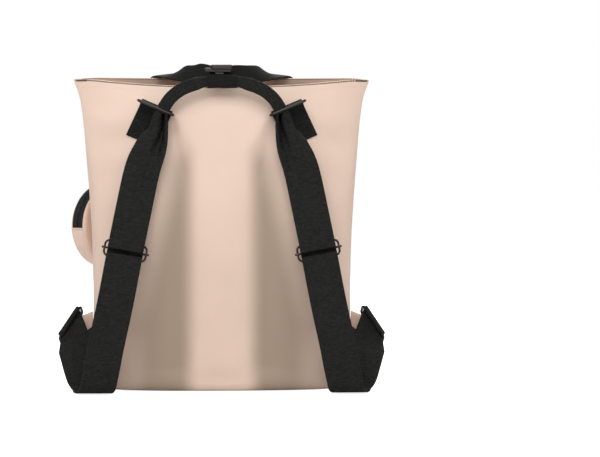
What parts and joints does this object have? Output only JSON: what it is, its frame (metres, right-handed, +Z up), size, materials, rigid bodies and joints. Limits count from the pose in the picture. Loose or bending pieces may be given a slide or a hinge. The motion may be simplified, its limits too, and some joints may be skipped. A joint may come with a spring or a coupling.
{
  "type": "convertible backpack",
  "caption": "Tall soft backpack with an open mouth, a folded carry handle at the back, adjustable shoulder straps, a front zip, a flap pocket and a round zipped pocket.",
  "frame": {"origin": "on the underside of the back panel at the middle of the width, 6 mm behind the base seam, on the floor", "axes": "+Z up, -Y out of the back panel, +Y out of the front, +X to the wearer's left"},
  "size_m": [0.4094, 0.2191, 0.4103],
  "materials": {
    "shell_fabric": "smooth coated cloth with a soft satin sheen",
    "zip_tape": "black woven tape with a coil",
    "strap_leather": "black, finely grained, semi-matt",
    "webbing": "black woven webbing, matt",
    "gunmetal": "dark polished gunmetal"
  },
  "bodies": {
    "bag": {"back_panel": "shell_fabric", "front_panel": "shell_fabric", "front_band": "shell_fabric", "front_yoke": "shell_fabric", "front_zip_tape": "zip_tape", "front_zip_slider": "gunmetal", "flap_pocket_face": "shell_fabric", "flap_pocket_gusset_outer": "shell_fabric", "flap_pocket_gusset_inner": "shell_fabric", "pocket_flap": "shell_fabric", "flap_snap": "gunmetal", "round_pocket_body": "shell_fabric", "round_pocket_zip": "zip_tape", "round_pocket_face": "shell_fabric", "round_zip_slider": "gunmetal", "anchor_tab_left": "webbing", "anchor_tab_right": "webbing", "upper_ring_left": "gunmetal", "upper_ring_right": "gunmetal", "carry_handle": "strap_leather", "handle_keeper": "webbing", "hook_buckle": "gunmetal", "hook_ring": "gunmetal", "front_handle": "webbing", "shoulder_strap_left": "strap_leather", "shoulder_strap_right": "strap_leather", "strap_slider_left": "gunmetal", "strap_slider_right": "gunmetal", "side_tab_left": "shell_fabric", "side_tab_right": "shell_fabric", "lower_ring_left": "gunmetal", "lower_ring_right": "gunmetal"},
    "puller": {"front_zip_puller": "strap_leather"}
  },
  "joints": [
    {"name": "zip_puller_swing", "type": "hinge", "parent": "bag", "child": "puller", "pos_m": [0.15604, 0.04554, 0.267], "axis": [0.6974, -0.7167, 0], "range_deg": [0, 150]}
  ]
}
